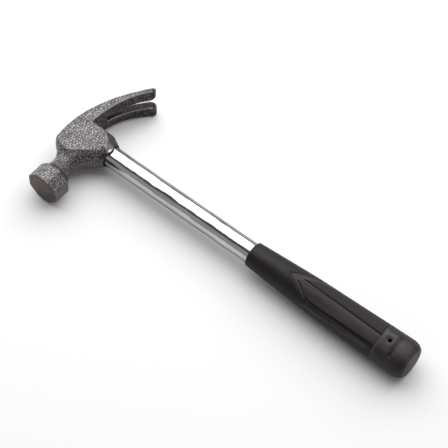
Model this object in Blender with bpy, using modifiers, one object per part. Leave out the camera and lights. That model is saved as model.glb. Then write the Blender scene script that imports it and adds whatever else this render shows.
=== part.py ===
"""Claw hammer: forged head, tubular steel handle and moulded rubber grip.

The hammer lies on its side.  In the design frame the handle's axis is the X axis, with the butt
at +X; the claw points to +Y and the striking face to -Y; Z is square to the flat cheeks, and the
origin is the centre of the eye.  Design values are in millimetres and become metres in point().
The last step moves the whole assembly so that it stands on Z = 0, centred on X = Y = 0.
"""
import math

import bmesh
import bpy
from mathutils import Matrix, Vector

MM = 0.001
GAP = 0.3                     # clearance between pieces that touch
TURN_STEPS = 48               # sides of a turned piece

# handle tube and what is inside it
TUBE_RADIUS = 8.55
TUBE_WALL = 1.5
TUBE_TOP = -21.9              # crown end, flush with the head
TUBE_END = 278.5              # inside the grip
TUBE_CHAMFER = 0.35
FILLER_RADIUS = TUBE_RADIUS - TUBE_WALL - GAP   # of the pieces inside the tube
FILLER_CHAMFER = 0.8
FILLER_STEPS = 32
PLUG_TOP = TUBE_TOP + 0.4
PLUG_LENGTH = 12.0
PLUG_CHAMFER = 0.6
PLUG_NOSE = 3.0               # length of the tapered end, and how far it narrows
PLUG_TAPER = 1.4
DOWEL_LENGTH = 60.0
END_PLUG_BODY = 12.0
END_PLUG_FLANGE = 2.2
FLANGE_CHAMFER = 0.5

# head: crown and claw
CHEEK = 11.8                  # half thickness across the cheeks
CROWN_RADIUS = 88.0
CROWN_TOP = -21.4             # crown height at the cheek's edge
CROWN_Y = -5.0                # where the crown is highest
CROWN_DOME = 1.0              # extra height at mid width over the eye
CLAW_DOME = 3.4               # the same at the claw's tips
CLAW_START = 3.0              # angles along the crown's arc, in degrees
CLAW_END = 51.3
CLAW_ROOT_THICKNESS = 13.9
CLAW_TIP_THICKNESS = 2.6
CLAW_FLARE_START = 18.0
CLAW_HALF_WIDTH = 16.4
TIP_OUTER_ROUND = 3.5
TIP_INNER_ROUND = 5.0
TIP_KICK = 1.5                # how far the tips' outer side lifts off the crown's arc
TIP_KICK_LENGTH = 14.0

# nail slot, as distances along the crown's arc
SLOT_LENGTH = 45.0
SLOT_APEX_RADIUS = 2.6
SLOT_KNEE = 20.0              # from the apex to where the flanks run nearly parallel
SLOT_KNEE_HALF = 4.8
SLOT_TIP_HALF = 5.0

# poll and neck
FACE_Y = -57.9
FACE_CHAMFER = 0.9
POLL_MIDDLE = -0.3
POLL_HALF_X = 14.2
POLL_HALF_Z = 14.1
OCTAGON_SHARE = 0.65          # 1 is a sharp octagon, 0 is round

# eye and skirt
EYE_RADIUS = TUBE_RADIUS + GAP
SKIRT_END = 20.0
SKIRT_RADIUS = 10.4
LOBE_END = 22.8
LOBE_RADIUS = 10.3
LOBE_HALF_WIDTH = 6.2
LOBE_Y = -1.2

# grip
GRIP_FRONT = 162.3
GRIP_FRONT_RADIUS = 10.3
GRIP_SWELL = ((164.0, 10.3), (180.0, 11.3), (215.0, 13.25), (250.0, 14.15), (300.5, 15.5))
GRIP_END = 309.6
GRIP_END_FLAT = 9.6
GRIP_LIP = 1.2
GRIP_TURN = 7.0               # the sleeve sits turned this far about the tube, in degrees
HANG_HOLE_X = 289.2
HANG_HOLE_RADIUS = 2.2
HANG_SEAT_RADIUS = 4.0
HANG_SEAT_DEPTH = 0.9
ARROW_START = 199.0
PANEL_START = 211.0
PANEL_END = 282.5
CROSS_GROOVE_X = 295.1
CROSS_GROOVE_HALF = 0.5
GROOVE_HALF_ANGLE = 1.9
CHANNEL_HALF_ANGLE = 5.0


def point(x, y, z):
    """A place in the design frame, in metres."""
    return Vector((x, y, z)) * MM


# ---------------------------------------------------------------- scene and material helpers

def clear_scene():
    for item in list(bpy.data.objects):
        bpy.data.objects.remove(item, do_unlink=True)


def new_collection(name):
    collection = bpy.data.collections.new(name)
    bpy.context.scene.collection.children.link(collection)
    return collection


def material(name, colour, roughness, metallic):
    made = bpy.data.materials.new(name)
    made.use_nodes = True
    shader = made.node_tree.nodes["Principled BSDF"]
    shader.inputs["Base Color"].default_value = (*colour, 1.0)
    shader.inputs["Roughness"].default_value = roughness
    shader.inputs["Metallic"].default_value = metallic
    return made


def mesh_object(name, geometry, collection):
    """Close a bmesh's normals outwards and put it in the scene."""
    bmesh.ops.recalc_face_normals(geometry, faces=geometry.faces)
    mesh = bpy.data.meshes.new(name)
    geometry.to_mesh(mesh)
    geometry.free()
    item = bpy.data.objects.new(name, mesh)
    collection.objects.link(item)
    return item


def finish_part(item, finish, root, smooth=False):
    item.data.materials.clear()
    item.data.materials.append(finish)
    if smooth:
        item.data.shade_smooth()
        item.data.set_sharp_from_angle(angle=math.radians(30))
    item.parent = root


# ---------------------------------------------------------------- shape helpers

def loft(name, rings, collection):
    """Skin a list of rings that have the same number of points, and cap both ends."""
    geometry = bmesh.new()
    rows = [[geometry.verts.new(place) for place in ring] for ring in rings]
    for first, second in zip(rows, rows[1:]):
        for index in range(len(first)):
            after = (index + 1) % len(first)
            geometry.faces.new((first[index], first[after], second[after], second[index]))
    geometry.faces.new(rows[0])
    geometry.faces.new(rows[-1])
    return mesh_object(name, geometry, collection)


def turned(name, profile, collection, steps=TURN_STEPS):
    """Turn a closed (x, radius) profile about the X axis with a Screw modifier."""
    geometry = bmesh.new()
    corners = [geometry.verts.new(point(radius, 0, -x)) for x, radius in profile]
    for first, second in zip(corners, corners[1:] + corners[:1]):
        if first.co.x > 0 or second.co.x > 0:
            geometry.edges.new((first, second))
    mesh = bpy.data.meshes.new(name)
    geometry.to_mesh(mesh)
    geometry.free()
    item = bpy.data.objects.new(name, mesh)
    collection.objects.link(item)
    screw = item.modifiers.new("turn", "SCREW")
    screw.axis = "Z"
    screw.steps = steps
    screw.render_steps = steps
    screw.use_merge_vertices = True
    screw.merge_threshold = 0.00001
    item.rotation_euler = (0, math.radians(-90), 0)
    return item


def as_mesh(item):
    """Replace an object that has modifiers or is a curve by its evaluated mesh, in place."""
    bpy.context.view_layer.update()
    seen = item.evaluated_get(bpy.context.evaluated_depsgraph_get())
    mesh = bpy.data.meshes.new_from_object(seen)
    mesh.transform(item.matrix_world)
    geometry = bmesh.new()
    geometry.from_mesh(mesh)
    bmesh.ops.remove_doubles(geometry, verts=geometry.verts, dist=0.000001)
    bpy.data.meshes.remove(mesh)
    name, collection = item.name, item.users_collection[0]
    bpy.data.objects.remove(item, do_unlink=True)
    return mesh_object(name, geometry, collection)


def combine(item, other, operation):
    """Boolean two solids; the second one stays behind as a hidden guide."""
    step = item.modifiers.new(other.name, "BOOLEAN")
    step.operation = operation
    step.solver = "EXACT"
    step.object = other
    other.hide_render = True
    other.display_type = "WIRE"


# ---------------------------------------------------------------- head

def arc(centre, radius, start, end, count):
    """Points on a circle from one angle to another, in degrees."""
    angles = [math.radians(start + (end - start) * step / count) for step in range(count + 1)]
    return [(centre[0] + radius * math.cos(a), centre[1] + radius * math.sin(a)) for a in angles]


def ease(value, low, high):
    """0 below low, 1 above high and a smooth ramp between them."""
    share = min(1.0, max(0.0, (value - low) / (high - low)))
    return share * share * (3 - 2 * share)


def corner_cut(distance, radius):
    """How far a rounded corner is cut back at a distance from the tip."""
    reach = max(0.0, radius - distance)
    return radius - math.sqrt(radius ** 2 - reach ** 2)


def crown(y):
    """Height of the crown's arc, at the cheek's edge."""
    return CROWN_TOP + CROWN_RADIUS - math.sqrt(CROWN_RADIUS ** 2 - (y - CROWN_Y) ** 2)


def outward(angle):
    """Direction from the centre of the crown's arc through an angle along it."""
    turn = math.radians(angle)
    return Vector((-math.cos(turn), math.sin(turn), 0))


def on_arc(angle, radius, z):
    """A place at a radius and an angle about the centre of the crown's arc."""
    centre = Vector((CROWN_TOP + CROWN_RADIUS, CROWN_Y, z))
    return (centre + outward(angle) * radius) * MM


def along_arc(distance):
    """The angle that a distance along the crown's arc spans."""
    return math.degrees(distance / CROWN_RADIUS)


def claw_ring(angle):
    """One section of the claw, square to the crown's arc: flat below, domed above."""
    share = (angle - CLAW_START) / (CLAW_END - CLAW_START)
    thickness = CLAW_TIP_THICKNESS + (CLAW_ROOT_THICKNESS - CLAW_TIP_THICKNESS) * (1 - share) ** 1.25
    flare = ease(angle, CLAW_FLARE_START, CLAW_END + 6)
    from_tip = math.radians(CLAW_END - angle) * CROWN_RADIUS
    half = (CHEEK - 0.05 + (CLAW_HALF_WIDTH - CHEEK) * flare
            - corner_cut(from_tip, TIP_OUTER_ROUND))
    dome = CROWN_DOME + (CLAW_DOME - CROWN_DOME) * share
    outer = CROWN_RADIUS + TIP_KICK * (1 - ease(from_tip, 0, TIP_KICK_LENGTH))
    dome_steps = 8
    ring = [on_arc(angle, CROWN_RADIUS - thickness, side * half) for side in (-1, 1)]
    for step in range(dome_steps + 1):
        across = 1 - 2 * step / dome_steps
        ring.append(on_arc(angle, outer + dome * (1 - across ** 2), across * half))
    return ring


def make_claw(collection):
    spacing = 2.2
    angles = [CLAW_START]
    while angles[-1] + spacing < CLAW_END - 2.5:
        angles.append(angles[-1] + spacing)
    angles += [CLAW_END - along_arc(TIP_OUTER_ROUND * cut) for cut in (1.0, 0.6, 0.3, 0.08, 0.0)]
    return loft("claw_body", [claw_ring(angle) for angle in angles], collection)


def slot_half_width(distance):
    """Half the nail slot's width at a distance along the arc from its apex."""
    if distance < SLOT_APEX_RADIUS:
        return math.sqrt(SLOT_APEX_RADIUS ** 2 - (SLOT_APEX_RADIUS - distance) ** 2)
    if distance < SLOT_KNEE:
        share = (distance - SLOT_APEX_RADIUS) / (SLOT_KNEE - SLOT_APEX_RADIUS)
        return SLOT_APEX_RADIUS + (SLOT_KNEE_HALF - SLOT_APEX_RADIUS) * share
    share = (distance - SLOT_KNEE) / (SLOT_LENGTH - SLOT_KNEE)
    flank = SLOT_KNEE_HALF + (SLOT_TIP_HALF - SLOT_KNEE_HALF) * share
    return flank + corner_cut(SLOT_LENGTH - distance, TIP_INNER_ROUND)


def make_slot(collection):
    """The nail slot's cutter, square to the crown's arc all along it."""
    stops = [0.05, 0.4, 1.0, 1.8, SLOT_APEX_RADIUS, 6.0, 10.0, 15.0, SLOT_KNEE, 26.0, 33.0]
    stops += [SLOT_LENGTH - TIP_INNER_ROUND * cut for cut in (1.0, 0.7, 0.45, 0.25, 0.1, 0.02)]
    rings = []
    for stop in stops + [SLOT_LENGTH + 8.0]:
        half = slot_half_width(min(stop, stops[-1]))
        angle = CLAW_END + along_arc(stop - SLOT_LENGTH)
        rings.append([on_arc(angle, radius, z) for radius, z in
                      ((CROWN_RADIUS - 30, -half), (CROWN_RADIUS - 30, half),
                       (CROWN_RADIUS + 12, half), (CROWN_RADIUS + 12, -half))])
    return loft("slot_cutter", rings, collection)


def poll_ring(y, middle, half_x, half_z):
    """A section of the poll or the neck: an octagon whose corners are a little rounded."""
    sides = 32
    ring = []
    for side in range(sides):
        turn = 2 * math.pi * side / sides
        from_flat = (turn + math.pi / 8) % (math.pi / 4) - math.pi / 8
        reach = (1 / math.cos(from_flat)) ** OCTAGON_SHARE
        ring.append(point(middle + half_x * reach * math.cos(turn), y, half_z * reach * math.sin(turn)))
    return ring


def make_poll(collection):
    stations = (
        # y, middle, half x, half z
        (FACE_Y, POLL_MIDDLE, POLL_HALF_X - FACE_CHAMFER, POLL_HALF_Z - FACE_CHAMFER),
        (FACE_Y + 0.3, POLL_MIDDLE, POLL_HALF_X - 0.3, POLL_HALF_Z - 0.3),
        (FACE_Y + FACE_CHAMFER, POLL_MIDDLE, POLL_HALF_X, POLL_HALF_Z),
        (-44.0, POLL_MIDDLE, POLL_HALF_X, POLL_HALF_Z),
        (-42.2, -0.6, 13.9, 13.4),
        (-38.4, -1.2, 10.4, 10.4),
        (-36.0, -1.6, 9.3, 9.5),
        (-32.0, -2.3, 8.7, 9.1),
        (-28.5, -2.8, 9.0, 9.2),
        (-25.0, -3.6, 9.9, 9.7),
        (-22.0, -4.6, 11.2, 10.2),
        (-19.0, -5.4, 12.8, 10.8),
        (-12.0, -5.4, 12.8, 10.8),
    )
    return loft("poll_body", [poll_ring(*station) for station in stations], collection)


def make_eye_block(collection):
    """The block round the eye: flat cheeks, and facets that slope out to a ridge at mid height.

    Every outline runs from the crown's front corner, round the neck's flare and the skirt, to the
    claw's root and back over the crown.
    """
    cheek = [(-19.4, -19.2), (-13.5, -21.2), (-9.0, -22.4), (-4.6, -21.8), (-1.8, -19.2),
             (5.0, -13.9), (10.4, -10.2), (14.6, -6.6), (15.6, -3.0), (13.4, 3.0), (11.4, 5.4),
             (7.2, 8.6), (-6.6, 9.4)]
    shoulder = [(-20.2, -19.8), (-14.0, -23.2), (-10.0, -25.8), (-3.0, -26.4), (2.4, -23.2),
                (7.0, -17.8), (12.0, -12.8), (17.2, -8.0), (18.4, -2.5), (16.2, 5.4), (13.6, 8.2),
                (8.8, 11.2), (-4.6, 11.4)]
    flank = [(-20.6, -20.2), (-14.6, -24.4), (-11.6, -27.8), (3.0, -29.0), (6.0, -24.8),
             (9.2, -19.4), (13.4, -14.8), (18.6, -9.6), (19.8, -2.2), (18.4, 7.6), (15.4, 10.8),
             (10.0, 13.6), (-3.0, 13.8)]
    ridge = [(-20.8, -20.4), (-14.6, -25.0), (-11.8, -28.6), (5.6, -29.6), (6.9, -25.2),
             (10.0, -19.8), (14.2, -15.4), (19.4, -10.4), (20.0, -2.2), (19.2, 8.8), (16.8, 11.8),
             (10.6, 15.2), (-1.6, 16.2)]
    levels = ((-CHEEK, cheek), (-9.0, shoulder), (-4.6, flank), (0.0, ridge),
              (4.6, flank), (9.0, shoulder), (CHEEK, cheek))
    rings = []
    for z, outline in levels:
        dome = CROWN_DOME * (1 - (z / CHEEK) ** 2)
        top = [(crown(y) - dome, y) for y in (9.6, 2.0, -5.0, -12.0)]
        rings.append([point(x, y, z) for x, y in outline + top])
    return loft("eye_block", rings, collection)


def make_skirt(collection):
    """The collar at the eye's lower end."""
    bevel = 0.7
    profile = ((0.0, 0.0), (0.0, 11.0), (14.0, 11.4), (SKIRT_END - bevel, SKIRT_RADIUS),
               (SKIRT_END, SKIRT_RADIUS - bevel), (SKIRT_END, 0.0))
    return as_mesh(turned("skirt_collar", profile, collection))


def make_lobe(name, side, collection):
    """A tongue that carries each cheek further down the tube and hugs it."""
    bevel = 0.6
    profile = ((8.0, 0.0), (8.0, LOBE_RADIUS + 0.9), (LOBE_END - bevel, LOBE_RADIUS),
               (LOBE_END, LOBE_RADIUS - bevel), (LOBE_END, 0.0))
    lobe = as_mesh(turned(name, profile, collection))
    end = arc((LOBE_END - LOBE_HALF_WIDTH, LOBE_Y), LOBE_HALF_WIDTH, -90, 90, 12)
    outline = end + [(6.0, LOBE_Y + LOBE_HALF_WIDTH), (6.0, LOBE_Y - LOBE_HALF_WIDTH)]
    rings = [[point(x, y, side * z) for x, y in outline] for z in (3.0, 20.0)]
    combine(lobe, loft(name + "_outline", rings, collection), "INTERSECT")
    return as_mesh(lobe)


def make_head(parts, guides):
    head = make_eye_block(parts)
    head.name = "head"
    combine(head, make_poll(guides), "UNION")
    combine(head, make_claw(guides), "UNION")
    combine(head, make_skirt(guides), "UNION")
    for name, side in (("lobe_upper", 1), ("lobe_lower", -1)):
        combine(head, make_lobe(name, side, guides), "UNION")
    combine(head, make_slot(guides), "DIFFERENCE")
    eye = turned("eye_cutter", ((-40.0, 0.0), (-40.0, EYE_RADIUS), (40.0, EYE_RADIUS), (40.0, 0.0)), guides)
    combine(head, as_mesh(eye), "DIFFERENCE")
    return as_mesh(head)


# ---------------------------------------------------------------- handle

def make_tube(parts):
    inner = TUBE_RADIUS - TUBE_WALL
    rim = TUBE_RADIUS - TUBE_CHAMFER
    profile = ((TUBE_TOP, inner), (TUBE_TOP, rim), (TUBE_TOP + TUBE_CHAMFER, TUBE_RADIUS),
               (TUBE_END - TUBE_CHAMFER, TUBE_RADIUS), (TUBE_END, rim), (TUBE_END, inner))
    return as_mesh(turned("handle_tube", profile, parts))


def make_expansion_plug(parts):
    """A steel plug with a tapered nose, driven into the tube's top to swell it in the eye."""
    end = PLUG_TOP + PLUG_LENGTH
    profile = ((PLUG_TOP, 0.0), (PLUG_TOP, FILLER_RADIUS - PLUG_CHAMFER),
               (PLUG_TOP + PLUG_CHAMFER, FILLER_RADIUS), (end - PLUG_NOSE, FILLER_RADIUS),
               (end, FILLER_RADIUS - PLUG_TAPER), (end, 0.0))
    return as_mesh(turned("expansion_plug", profile, parts, FILLER_STEPS))


def make_shock_dowel(parts):
    """A wooden dowel that stiffens the tube where it leaves the head."""
    start = PLUG_TOP + PLUG_LENGTH + GAP
    end = start + DOWEL_LENGTH
    rim = FILLER_RADIUS - FILLER_CHAMFER
    profile = ((start, 0.0), (start, rim), (start + FILLER_CHAMFER, FILLER_RADIUS),
               (end - FILLER_CHAMFER, FILLER_RADIUS), (end, rim), (end, 0.0))
    return as_mesh(turned("shock_dowel", profile, parts, FILLER_STEPS))


def make_end_plug(parts):
    """A flanged plug that closes the tube's butt end inside the grip."""
    start = TUBE_END - END_PLUG_BODY
    flange = TUBE_END + GAP
    end = flange + END_PLUG_FLANGE
    rim = TUBE_RADIUS - GAP
    profile = ((start, 0.0), (start, FILLER_RADIUS - FILLER_CHAMFER),
               (start + FILLER_CHAMFER, FILLER_RADIUS), (flange, FILLER_RADIUS), (flange, rim),
               (end - FLANGE_CHAMFER, rim), (end, rim - FLANGE_CHAMFER), (end, 0.0))
    return as_mesh(turned("tube_end_plug", profile, parts, FILLER_STEPS))


# ---------------------------------------------------------------- grip

def grip_profile():
    """The sleeve's outer side from its front lip to the centre of its butt, then back up the bore."""
    lip = arc((GRIP_FRONT + GRIP_LIP, GRIP_FRONT_RADIUS - GRIP_LIP), GRIP_LIP, 180, 90, 4)
    last_x, last_radius = GRIP_SWELL[-1]
    depth = GRIP_END - last_x
    width = last_radius - GRIP_END_FLAT
    butt = [(last_x + depth * math.sin(turn), GRIP_END_FLAT + width * math.cos(turn))
            for turn in (math.radians(10 * step) for step in range(1, 10))]
    pocket = TUBE_END + GAP + END_PLUG_FLANGE + GAP
    bore = TUBE_RADIUS + GAP
    inside = [(GRIP_END, 0.0), (pocket, 0.0), (pocket, bore), (GRIP_FRONT, bore)]
    return lip + list(GRIP_SWELL) + butt + inside


def surface_radius(x):
    """The grip's outer radius at a place along it."""
    for (x_a, r_a), (x_b, r_b) in zip(GRIP_SWELL, GRIP_SWELL[1:]):
        if x <= x_b:
            return r_a + (r_b - r_a) * (x - x_a) / (x_b - x_a)
    return GRIP_SWELL[-1][1]


def wrapped(name, rungs, depth, side, collection):
    """A cutter that follows the grip's surface, on either face.

    Each rung is a pair of (x, angle) places, one on each edge of the mark.  The angle runs from the
    middle of the face towards the striking side, in degrees.
    """
    def place(spot, lift):
        x, angle = spot
        radius = surface_radius(x) + lift
        turn = math.radians(angle)
        return point(x, -radius * math.sin(turn), side * radius * math.cos(turn))
    rings = [[place(first, -depth), place(second, -depth), place(second, 4.0), place(first, 4.0)]
             for first, second in rungs]
    return loft(name, rings, collection)


def band(start, end, half_angle, steps):
    """Rungs of a narrow band that runs along the grip from one (x, angle) to another."""
    rungs = []
    for step in range(steps + 1):
        x = start[0] + (end[0] - start[0]) * step / steps
        angle = start[1] + (end[1] - start[1]) * step / steps
        rungs.append(((x, angle - half_angle), (x, angle + half_angle)))
    return rungs


def grip_features():
    """The moulded marks on each face, as (name, rungs, depth)."""
    arm = ((0, 0.0, 8.5), (16, 4.2, 11.5), (30, 9.5, 15.0), (43, 16.0, 19.0), (52, 20.0, 22.0))
    arm = [(-angle, outer, inner) for angle, outer, inner in reversed(arm[1:])] + list(arm)
    arrow = [((ARROW_START + outer, angle), (ARROW_START + inner, angle)) for angle, outer, inner in arm]
    cross_angles = [-34 + 77 * step / 8 for step in range(9)]
    cross = [((CROSS_GROOVE_X - CROSS_GROOVE_HALF, angle), (CROSS_GROOVE_X + CROSS_GROOVE_HALF, angle))
             for angle in cross_angles]
    channel = band((ARROW_START + 21.0, 46.5), (PANEL_END, 41.5), CHANNEL_HALF_ANGLE, 6)
    return (("arrow", arrow, 0.8),
            ("groove", band((PANEL_START, -9.5), (PANEL_END - 1, 1.0), GROOVE_HALF_ANGLE, 6), 0.9),
            ("channel", channel, 1.2),
            ("cross_groove", cross, 0.9))


def make_grip(parts, guides):
    grip = as_mesh(turned("grip", grip_profile(), parts, 64))
    for label, side in (("upper", 1), ("lower", -1)):
        for feature, rungs, depth in grip_features():
            cutter = wrapped(feature + "_" + label, rungs, depth, side, guides)
            combine(grip, cutter, "DIFFERENCE")
        seat_low = side * (surface_radius(HANG_HOLE_X) - HANG_SEAT_DEPTH)
        rings = [[point(x, y, z) for x, y in arc((HANG_HOLE_X, 0), HANG_SEAT_RADIUS, 0, 345, 23)]
                 for z in (seat_low, side * 25.0)]
        combine(grip, loft("hang_seat_" + label, rings, guides), "DIFFERENCE")
    rings = [[point(x, y, z) for x, y in arc((HANG_HOLE_X, 0), HANG_HOLE_RADIUS, 0, 345, 23)]
             for z in (-25.0, 25.0)]
    combine(grip, loft("hang_cutter", rings, guides), "DIFFERENCE")
    grip = as_mesh(grip)
    grip.rotation_euler = (math.radians(GRIP_TURN), 0, 0)
    return grip


# ---------------------------------------------------------------- assembly

def stand_on_ground(root, items):
    """Move the assembly so that its box stands centred on the origin."""
    bpy.context.view_layer.update()
    corners = [item.matrix_world @ vertex.co for item in items for vertex in item.data.vertices]
    low = [min(corner[axis] for corner in corners) for axis in range(3)]
    high = [max(corner[axis] for corner in corners) for axis in range(3)]
    root.location = (-(low[0] + high[0]) / 2, -(low[1] + high[1]) / 2, -low[2])


def main():
    clear_scene()
    parts = new_collection("claw_hammer")
    guides = new_collection("cutters")
    root = bpy.data.objects.new("hammer_root", None)
    parts.objects.link(root)

    made = (
        (make_head(parts, guides), material("hammertone_head", (0.16, 0.14, 0.15), 0.45, 0.6), False),
        (make_tube(parts), material("chromed_steel", (0.62, 0.63, 0.65), 0.12, 1.0), True),
        (make_expansion_plug(parts), material("plug_steel", (0.35, 0.35, 0.36), 0.40, 1.0), True),
        (make_shock_dowel(parts), material("dowel_wood", (0.55, 0.38, 0.20), 0.75, 0.0), True),
        (make_end_plug(parts), material("end_plug_plastic", (0.05, 0.05, 0.05), 0.55, 0.0), True),
        (make_grip(parts, guides), material("grip_rubber", (0.025, 0.024, 0.025), 0.55, 0.0), True),
    )
    for item, finish, smooth in made:
        finish_part(item, finish, root, smooth)
    stand_on_ground(root, [item for item, _, _ in made])


main()
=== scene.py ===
"""Looks of the claw hammer: a hammertone forged head, a chromed tube and a moulded rubber grip.

Shapes are worked out in the hammer's own frame, in millimetres: X runs along the handle from the
centre of the eye to the butt, Y from the striking face to the claw, and Z is square to the cheeks.
to_world() takes them to the model's frame, whose place comes from the CAD boxes.
"""
import itertools
import math

import bpy
import numpy as np
from mathutils import Matrix, Vector


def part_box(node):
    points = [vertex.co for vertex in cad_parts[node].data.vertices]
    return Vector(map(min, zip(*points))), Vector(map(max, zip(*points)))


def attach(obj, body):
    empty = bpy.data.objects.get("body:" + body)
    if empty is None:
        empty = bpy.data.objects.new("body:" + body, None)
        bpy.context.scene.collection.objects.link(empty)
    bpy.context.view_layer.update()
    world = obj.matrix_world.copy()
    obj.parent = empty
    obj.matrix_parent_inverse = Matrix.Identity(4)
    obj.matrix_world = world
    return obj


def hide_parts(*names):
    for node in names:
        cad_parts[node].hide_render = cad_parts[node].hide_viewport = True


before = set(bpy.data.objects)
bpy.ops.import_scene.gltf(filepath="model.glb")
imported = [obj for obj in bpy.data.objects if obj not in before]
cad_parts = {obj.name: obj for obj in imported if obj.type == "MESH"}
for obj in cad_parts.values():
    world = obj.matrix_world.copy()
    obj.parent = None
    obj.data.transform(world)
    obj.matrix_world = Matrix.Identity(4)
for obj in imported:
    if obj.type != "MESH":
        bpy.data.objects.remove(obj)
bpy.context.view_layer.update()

MM = 0.001

# ------------------------------ places from the CAD boxes

TUBE_TOP = -21.9              # the tube's crown end, from the centre of the eye
tube_low, tube_high = (np.array(corner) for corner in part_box("handle_tube"))
head_low, _ = (np.array(corner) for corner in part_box("head"))
grip_low, grip_high = (np.array(corner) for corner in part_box("grip"))
plug_low, plug_high = (np.array(corner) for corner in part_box("expansion_plug"))
tube_middle = (tube_low + tube_high) / 2
EYE = np.array([tube_low[0] - TUBE_TOP * MM, tube_middle[1], tube_middle[2]])


def to_world(points):
    return np.asarray(points, float) * MM + EYE


def from_eye(value, axis):
    return (value - EYE[axis]) / MM


TUBE_RADIUS = (tube_high[2] - tube_low[2]) / 2 / MM
CLEARANCE = 0.3               # between the tube and what is round it
TUBE_END = from_eye(tube_high[0], 0)
FACE_Y = from_eye(head_low[1], 1)
GRIP_FRONT = from_eye(grip_low[0], 0)
GRIP_END = from_eye(grip_high[0], 0)


# ------------------------------ helpers for shapes

def soft_max(a, b, radius):
    """The larger of two fields, with the edge between them rounded off."""
    overlap = np.maximum(radius - np.abs(a - b), 0) / radius
    return np.maximum(a, b) + overlap ** 2 * radius / 4


def soft_min(a, b, radius):
    """The smaller of two fields, with a fillet between them."""
    return -soft_max(-a, -b, radius)


def ramp(value, low, high):
    """0 below low, 1 above high and a smooth step between them."""
    share = np.clip((value - low) / (high - low), 0, 1)
    return share * share * (3 - 2 * share)


def bell(value, width, power=2):
    """1 where value is 0, falling away on both sides over about one width."""
    return np.exp(-np.abs(value / width) ** power)


def spot(along, length, across, width):
    """1 at the middle of an oval, falling away round it."""
    return np.exp(-(along / length) ** 2 - (across / width) ** 2)


def strongest(*fields):
    """The largest of several fields, place by place."""
    return np.maximum.reduce(np.broadcast_arrays(*fields))


def blurred(grid, passes):
    """A sampled field with its edges softened."""
    for _ in range(passes):
        for axis in range(3):
            wide = np.pad(grid, [(int(number == axis),) * 2 for number in range(3)], mode="reflect")
            before, after = (np.take(wide, range(first, first + grid.shape[axis]), axis) for first in (0, 2))
            grid = (before + 2 * grid + after) / 4
    return grid


def sampled(grid, places):
    """A sampled field's value at places given in cells."""
    base = np.clip(np.floor(places).astype(int), 0, np.array(grid.shape) - 2)
    share = places - base
    total = np.zeros(len(places))
    for corner in itertools.product((0, 1), repeat=3):
        weight = np.prod(np.where(corner, share, 1 - share), axis=1)
        total += weight * grid[tuple((base + corner).T)]
    return total


def surface_net(field, low, step):
    """Points and quads of the surface where a sampled field changes sign, outward facing."""
    inside = field < 0
    size = np.array(field.shape) - 1

    def corner(grid, offset):
        return grid[tuple(slice(o, o + n) for o, n in zip(offset, size))]

    offsets = list(itertools.product((0, 1), repeat=3))
    count = sum(corner(inside, offset).astype(np.int8) for offset in offsets)
    crossed = (count > 0) & (count < 8)
    cells = np.argwhere(crossed)
    index = np.full(crossed.shape, -1)
    index[crossed] = np.arange(len(cells))
    total = np.zeros((len(cells), 3))
    hits = np.zeros(len(cells))
    for axis in range(3):
        for offset in offsets:
            if offset[axis]:
                continue
            further = tuple(o + (number == axis) for number, o in enumerate(offset))
            near, far = corner(field, offset)[crossed], corner(field, further)[crossed]
            cut = (near < 0) != (far < 0)
            place = np.tile(np.array(offset, float), (len(cells), 1))
            place[cut, axis] += near[cut] / (near[cut] - far[cut])
            total[cut] += place[cut]
            hits[cut] += 1
    points = low + step * (cells + total / hits[:, None])
    quads = []
    for axis in range(3):
        u, v = np.eye(3, dtype=int)[[(axis + 1) % 3, (axis + 2) % 3]]
        along = np.eye(3, dtype=int)[axis]
        start = inside[tuple(slice(0, -1) if a else slice(None) for a in along)]
        end = inside[tuple(slice(1, None) if a else slice(None) for a in along)]
        edges = np.argwhere(start != end)
        quad = np.stack([index[tuple((edges - move).T)] for move in (u + v, v, 0 * u, u)], axis=1)
        leaves = start[tuple(edges.T)]
        quads.append(np.where(leaves[:, None], quad, quad[:, ::-1]))
    return points, np.concatenate(quads)


def waves(points, shortest, longest, count, seed):
    """Even, seamless unevenness with bumps between two wavelengths, from about -1 to 1."""
    maker = np.random.default_rng(seed)
    heading = maker.normal(size=(count, 3))
    heading /= np.linalg.norm(heading, axis=1)[:, None]
    length = maker.uniform(shortest, longest, count)
    start = maker.uniform(0, 2 * math.pi, count)
    total = np.zeros(len(points))
    for way, wavelength, phase in zip(heading, length, start):
        total += np.sin(points @ way * (2 * math.pi / wavelength) + phase)
    return total / math.sqrt(count)


def add_object(name, data):
    item = bpy.data.objects.new(name, data)
    bpy.context.scene.collection.objects.link(item)
    return item


def make_piece(name, points, faces, finish, node):
    """A smooth-shaded piece that stands for one CAD node, from points in millimetres."""
    mesh = bpy.data.meshes.new(name)
    mesh.from_pydata(to_world(points).tolist(), [], [tuple(face) for face in faces])
    mesh.validate()
    mesh.shade_smooth()
    item = add_object(name, mesh)
    item.data.materials.append(finish)
    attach(item, "root")
    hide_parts(node)
    return item


def store(item, name, values):
    """Keep one number per point, for the material."""
    layer = item.data.attributes.new(name, "FLOAT", "POINT")
    layer.data.foreach_set("value", np.asarray(values, np.float32))


def normals_of(item):
    """One normal per point."""
    flat = np.empty(len(item.data.vertices) * 3, np.float32)
    item.data.vertex_normals.foreach_get("vector", flat)
    return flat.reshape(-1, 3)


def skin(rings, first_centre=None, last_centre=None, loop=False):
    """Points and quads of a surface through rings of equal length, with fans on centres given."""
    rings = np.asarray(rings)
    rows, sides = rings.shape[:2]
    points = [tuple(place) for place in rings.reshape(-1, 3)]
    faces = []
    for row in range(rows if loop else rows - 1):
        here, there = row * sides, (row + 1) % rows * sides
        for side in range(sides):
            after = (side + 1) % sides
            faces.append((here + side, here + after, there + after, there + side))
    for centre, row, turn in ((first_centre, 0, -1), (last_centre, rows - 1, 1)):
        if centre is not None:
            points.append(tuple(centre))
            for side in range(sides):
                edge = (row * sides + side, row * sides + (side + 1) % sides)
                faces.append((*edge[::turn], len(points) - 1))
    return np.array(points), faces


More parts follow.
